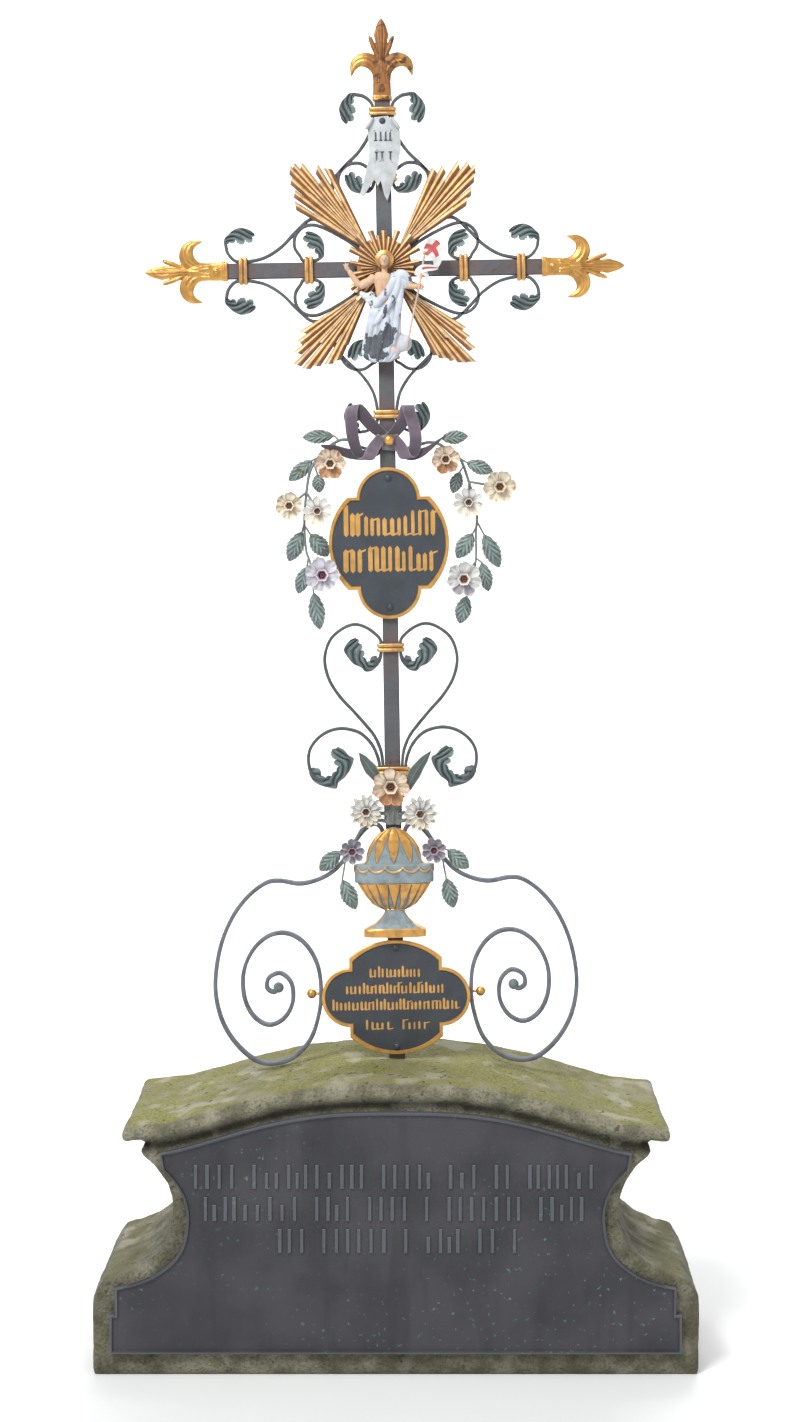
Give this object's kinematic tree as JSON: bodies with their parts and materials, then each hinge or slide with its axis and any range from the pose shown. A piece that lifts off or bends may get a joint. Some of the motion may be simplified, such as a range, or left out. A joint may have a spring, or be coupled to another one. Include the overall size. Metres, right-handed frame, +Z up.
{
  "type": "grave cross",
  "caption": "Scrolled iron grave cross with gilt lily ends, flower wreath, urn and plaques, set in a low moulded stone plinth with a bronze plate.",
  "frame": {"origin": "Centre of the plinth's flat underside.", "axes": "+Z up; +X to the right along the cross bar when the front is faced; +Y to the back, the front faces -Y."},
  "size_m": [0.93, 0.2651, 2.1108],
  "materials": {
    "stone": "weathered, grey-beige with moss on the coping",
    "bronze": "dark slate patina with verdigris specks",
    "bars": "worn dark slate grey paint with rust by the collars",
    "scrollwork": "worn slate grey paint with a grey-green patina on the leaves",
    "gilding": "bright gilding with red-brown recesses",
    "old_gilding": "weathered gilding with dark streaks",
    "title": "worn pale paint with dark strokes",
    "figure": "painted tan and pale blue-grey, peeled in patches",
    "banner": "white paint with a red cross",
    "plaques": "dark slate field inside a gilt rim",
    "ribbon": "worn purple-grey paint",
    "foliage": "worn grey-green paint",
    "cream_flowers": "cream paint with orange rims",
    "pale_flowers": "white to lilac-grey paint with dark centres",
    "urn": "pale blue-grey paint with gilt leaves and rims"
  },
  "bodies": {
    "root": {"stone_plinth": "stone", "bronze_plate": "bronze", "upright_bar": "bars", "cross_bar": "bars", "collar_top_outer": "gilding", "collar_top_inner": "gilding", "collar_left_outer": "gilding", "collar_left_inner": "gilding", "collar_right_inner": "gilding", "collar_right_outer": "gilding", "collar_lower_inner": "gilding", "collar_lower_outer": "gilding", "collar_heart": "gilding", "collar_bouquet": "gilding", "scroll_left_upper": "scrollwork", "scroll_left_lower": "scrollwork", "scroll_right_upper": "scrollwork", "scroll_right_lower": "scrollwork", "scroll_top_left": "scrollwork", "scroll_top_right": "scrollwork", "scroll_lower_left": "scrollwork", "scroll_lower_right": "scrollwork", "heart_scroll_left": "scrollwork", "heart_scroll_right": "scrollwork", "side_scroll_left": "scrollwork", "side_scroll_right": "scrollwork", "base_scroll_left": "scrollwork", "base_scroll_right": "scrollwork", "finial_left": "gilding", "finial_right": "gilding", "sunburst_centre": "gilding", "rays_upper_left": "gilding", "rays_upper_right": "gilding", "rays_lower_left": "gilding", "rays_lower_right": "gilding", "bow_boss": "gilding", "finial_top": "old_gilding", "title_scroll": "title", "figure": "figure", "banner": "banner", "name_plaque": "plaques", "dates_plaque": "plaques", "ribbon_bow": "ribbon", "wreath_branch_left": "foliage", "wreath_branch_right": "foliage", "bouquet_stems": "foliage", "wreath_flower_top_left": "cream_flowers", "wreath_flower_outer_left": "cream_flowers", "wreath_flower_middle_left": "pale_flowers", "wreath_flower_lower_left": "pale_flowers", "bouquet_daisy_left": "pale_flowers", "bouquet_flower_left": "pale_flowers", "wreath_flower_top_right": "cream_flowers", "wreath_flower_outer_right": "cream_flowers", "wreath_flower_middle_right": "pale_flowers", "wreath_flower_lower_right": "pale_flowers", "bouquet_daisy_right": "pale_flowers", "bouquet_flower_right": "pale_flowers", "bouquet_flower_top": "cream_flowers", "urn": "urn"}
  },
  "joints": []
}
